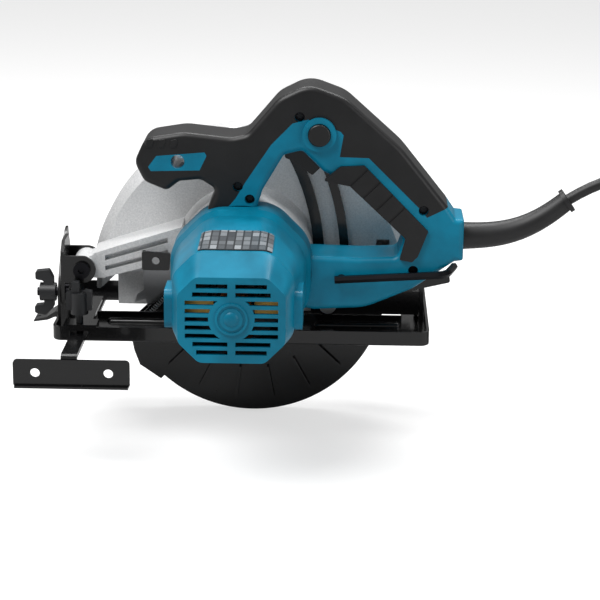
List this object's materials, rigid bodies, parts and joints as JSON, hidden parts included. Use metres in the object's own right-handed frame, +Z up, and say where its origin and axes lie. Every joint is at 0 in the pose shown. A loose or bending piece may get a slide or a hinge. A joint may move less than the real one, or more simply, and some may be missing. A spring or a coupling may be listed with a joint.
{
  "type": "circular saw",
  "caption": "Corded hand circular saw with a tilting base, retracting lower guard, side-mounted motor, rubber grip, rip fence and power cord.",
  "frame": {"origin": "underside of the base plate, in the plane of the blade, below the spindle", "axes": "+X to the rear of the saw, +Y from the motor to the blade, +Z up"},
  "size_m": [0.6167, 0.2782, 0.2651],
  "materials": {
    "silver_casting": "fine-grained die casting",
    "black_steel": "gloss black powder coat",
    "steel": "brushed",
    "zinc": "zinc plated",
    "dark_steel": "black oxide",
    "teal_nylon": "fine satin texture",
    "rubber": "soft overmould",
    "black_nylon": "moulded",
    "grey_knob": "moulded",
    "copper": "bare copper",
    "core_steel": "laminated",
    "carbon": "graphite",
    "brass": "bare",
    "label": "plain plate",
    "clear": "clear moulding",
    "cable_rubber": "cable sheath"
  },
  "bodies": {
    "base": {"base_plate": "black_steel", "sight_guide": "black_steel", "bevel_quadrant": "black_steel", "rear_bracket": "black_steel", "bevel_pins": "dark_steel"},
    "fence_screw": {"fence_thumb_screw": "grey_knob"},
    "rip_fence": {"rip_fence_bar": "black_steel", "rip_fence_plate": "black_steel"},
    "tilt_frame": {"front_bracket": "black_steel", "depth_guide": "black_steel", "bevel_bolt": "dark_steel", "depth_pivot_bolt": "dark_steel"},
    "bevel_knob": {"bevel_wing_nut": "grey_knob"},
    "saw_body": {"blade_case": "silver_casting", "spindle_bearings": "steel", "bearing_retainer": "zinc", "motor_bearings": "steel", "motor_housing": "teal_nylon", "handle_near": "teal_nylon", "handle_far": "teal_nylon", "grip_near": "rubber", "grip_far": "rubber", "palm_rest_pad": "rubber", "handle_screws": "dark_steel", "case_screws": "dark_steel", "rating_plate": "label", "field_core": "core_steel", "field_coils": "copper", "fan_baffle": "black_nylon", "brush_holders": "brass", "carbon_brushes": "carbon", "brush_caps": "black_nylon", "switch": "black_nylon", "cord_clamp": "black_nylon", "cord_guard": "cable_rubber", "depth_clamp_bolt": "zinc", "nozzle_bracket": "black_steel", "guard_spring": "steel", "cord_lead": "cable_rubber", "cord_coil": "cable_rubber", "coil_tie": "black_nylon", "plug_body": "cable_rubber", "plug_pins": "brass"},
    "spindle_set": {"spindle": "steel", "large_gear": "core_steel", "inner_flange": "zinc", "outer_flange": "zinc", "saw_blade": "steel", "blade_bolt": "dark_steel"},
    "armature_set": {"motor_shaft": "steel", "armature_core": "core_steel", "commutator": "copper", "cooling_fan": "black_nylon"},
    "guard_set": {"lower_guard": "black_steel", "guard_lever": "black_nylon"},
    "trigger": {"trigger": "black_nylon"},
    "lock_off_button": {"lock_off_button": "black_nylon"},
    "shaft_lock": {"shaft_lock": "black_nylon"},
    "depth_lever": {"depth_lever": "black_steel"},
    "hex_wrench": {"hex_wrench": "dark_steel"}
  },
  "joints": [
    {"name": "fence_screw_turn", "type": "hinge", "parent": "base", "child": "fence_screw", "pos_m": [-0.123, -0.068, 0.012], "axis": [0, 0, 1], "continuous": true},
    {"name": "rip_fence_slide", "type": "slide", "parent": "base", "child": "rip_fence", "axis": [0, 1, 0], "range_m": [-0.09, 0.024]},
    {"name": "bevel_tilt", "type": "hinge", "parent": "base", "child": "tilt_frame", "pos_m": [0, 0, 0.0065], "axis": [-1, 0, 0], "range_deg": [0, 45]},
    {"name": "bevel_knob_turn", "type": "hinge", "parent": "tilt_frame", "child": "bevel_knob", "pos_m": [-0.14, -0.05, 0.029], "axis": [-1, 0, 0], "range_deg": [0, 90]},
    {"name": "depth_swing", "type": "hinge", "parent": "tilt_frame", "child": "saw_body", "pos_m": [-0.122, 0, 0.048], "axis": [0, -1, 0], "range_deg": [0, 30]},
    {"name": "blade_spin", "type": "hinge", "parent": "saw_body", "child": "spindle_set", "pos_m": [0, 0, 0.027], "axis": [0, -1, 0], "continuous": true},
    {"name": "motor_spin", "type": "hinge", "parent": "saw_body", "child": "armature_set", "pos_m": [-0.005, 0, 0.0515], "axis": [0, -1, 0], "continuous": true},
    {"name": "guard_swing", "type": "hinge", "parent": "saw_body", "child": "guard_set", "pos_m": [0, 0, 0.027], "axis": [0, -1, 0], "range_deg": [0, 120], "stiffness_Nm_per_rad": 0.06, "springref_deg": -20.05, "deforming": ["guard_spring"]},
    {"name": "trigger_press", "type": "hinge", "parent": "saw_body", "child": "trigger", "pos_m": [0.028, -0.056, 0.141], "axis": [0, -1, 0], "range_deg": [0, 9], "stiffness_Nm_per_rad": 0.6, "springref_deg": -6.88},
    {"name": "lock_off_press", "type": "slide", "parent": "saw_body", "child": "lock_off_button", "axis": [0, 1, 0], "range_m": [0, 0.003], "stiffness_N_per_m": 900, "springref_m": -0.002},
    {"name": "shaft_lock_press", "type": "slide", "parent": "saw_body", "child": "shaft_lock", "axis": [1, 0, 0], "range_m": [0, 0.0025], "stiffness_N_per_m": 900, "springref_m": -0.002},
    {"name": "depth_lever_turn", "type": "hinge", "parent": "saw_body", "child": "depth_lever", "pos_m": [0.0568, -0.03, 0.0181], "axis": [0, -1, 0], "range_deg": [0, 45]},
    {"name": "hex_wrench_slide", "type": "slide", "parent": "saw_body", "child": "hex_wrench", "axis": [0, -1, 0], "range_m": [0, 0.028]}
  ],
  "couplings": [
    {"joint": "motor_spin", "follows": "blade_spin", "ratio": -4.5556}
  ]
}
